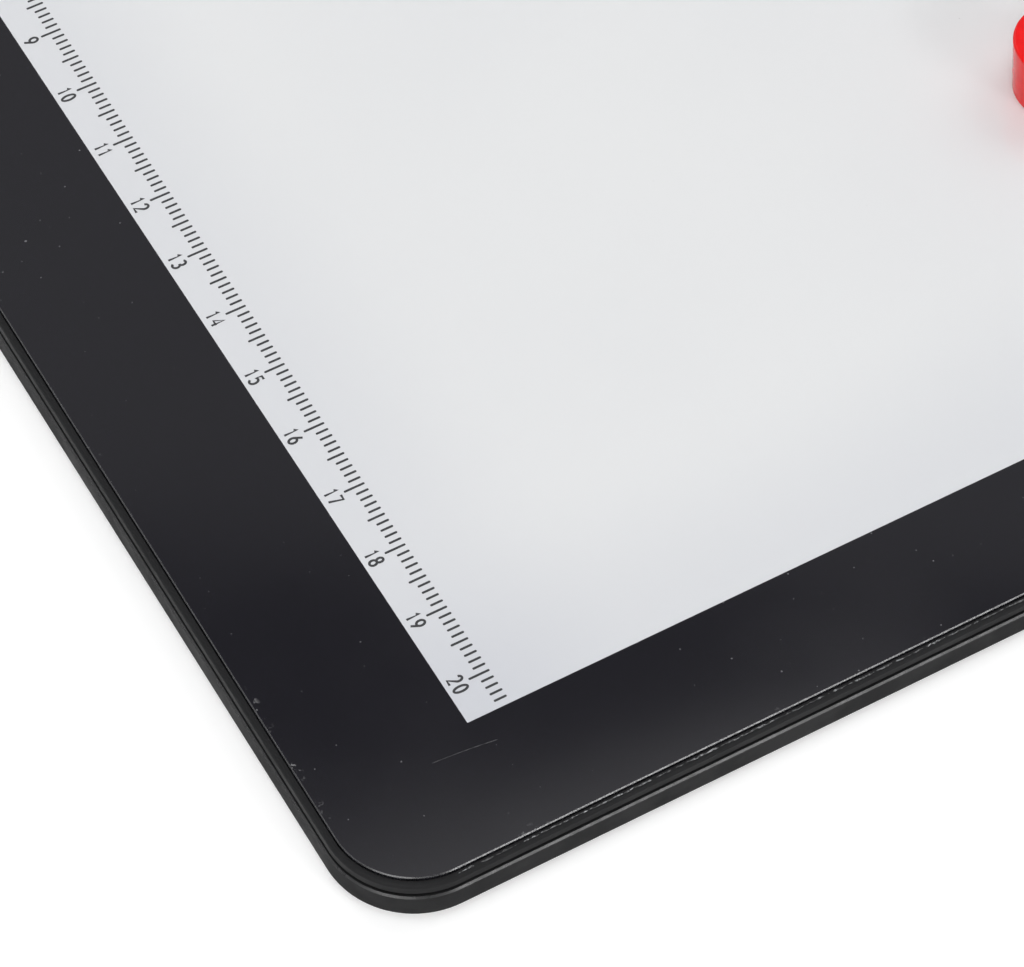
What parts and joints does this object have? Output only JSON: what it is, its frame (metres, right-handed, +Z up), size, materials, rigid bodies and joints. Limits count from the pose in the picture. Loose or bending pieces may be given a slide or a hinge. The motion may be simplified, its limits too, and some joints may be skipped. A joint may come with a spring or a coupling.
{
  "type": "led tracing pad",
  "caption": "Thin edge-lit tracing pad with a glossy black border round a ruled drawing window, a push button and power inlet in its far edge, rubber feet and a red paper magnet.",
  "frame": {"origin": "on the table under the middle of the case", "axes": "+X along the ruled edge in the direction its figures rise, +Y from the ruled edge to the edge with the inlet, +Z up"},
  "size_m": [0.2448, 0.3534, 0.017],
  "materials": {
    "shell_plastic": "fine spark-eroded moulded texture",
    "frame_plastic": "fine moulded texture",
    "panel_acrylic": "polished clear acrylic",
    "border_ink": "black print behind gloss",
    "tape": "adhesive film",
    "diffuser_film": "milky film",
    "guide_acrylic": "clear acrylic",
    "reflector_film": "white film",
    "steel": "tinned sheet",
    "strip_film": "white flexible board with lamp packages",
    "board": "green solder mask",
    "chip": "moulded epoxy",
    "ferrite": "sintered",
    "ceramic": "fired, with tinned ends",
    "nickel": "nickel plate",
    "insulator": "moulded",
    "button_plastic": "fine moulded texture",
    "wire_red": "insulation",
    "wire_black": "insulation",
    "rubber": "matt",
    "magnet_red": "glossy moulded"
  },
  "bodies": {
    "case": {"back_shell": "shell_plastic", "front_frame": "frame_plastic", "front_panel": "panel_acrylic", "border_mask": "border_ink", "panel_tape": "tape", "steel_sheet": "steel", "reflector_sheet": "reflector_film", "light_guide": "guide_acrylic", "diffuser_sheet": "diffuser_film", "led_strip": "strip_film", "control_board": "board", "driver_chip": "chip", "power_inductor": "ferrite", "input_capacitor": "ceramic", "socket_shell": "nickel", "socket_tongue": "insulator", "tact_switch": "insulator", "lead_wire_positive": "wire_red", "lead_wire_negative": "wire_black", "foot_1": "rubber", "foot_2": "rubber", "foot_3": "rubber", "foot_4": "rubber", "case_screw_1": "nickel", "case_screw_2": "nickel", "case_screw_3": "nickel", "case_screw_4": "nickel", "case_screw_5": "nickel", "case_screw_6": "nickel", "case_screw_7": "nickel", "case_screw_8": "nickel", "case_screw_9": "nickel", "case_screw_10": "nickel", "board_screw_1": "nickel", "board_screw_2": "nickel"},
    "button": {"power_button": "button_plastic", "switch_plunger": "nickel"},
    "magnet": {"magnet_cap": "magnet_red", "magnet_disc": "nickel"}
  },
  "joints": [
    {"name": "button_press", "type": "slide", "parent": "case", "child": "button", "axis": [0, -1, 0], "range_m": [0, 0.0003], "stiffness_N_per_m": 3000},
    {"name": "magnet_lift", "type": "slide", "parent": "case", "child": "magnet", "axis": [0, 0, 1], "range_m": [0, 0.04]}
  ]
}
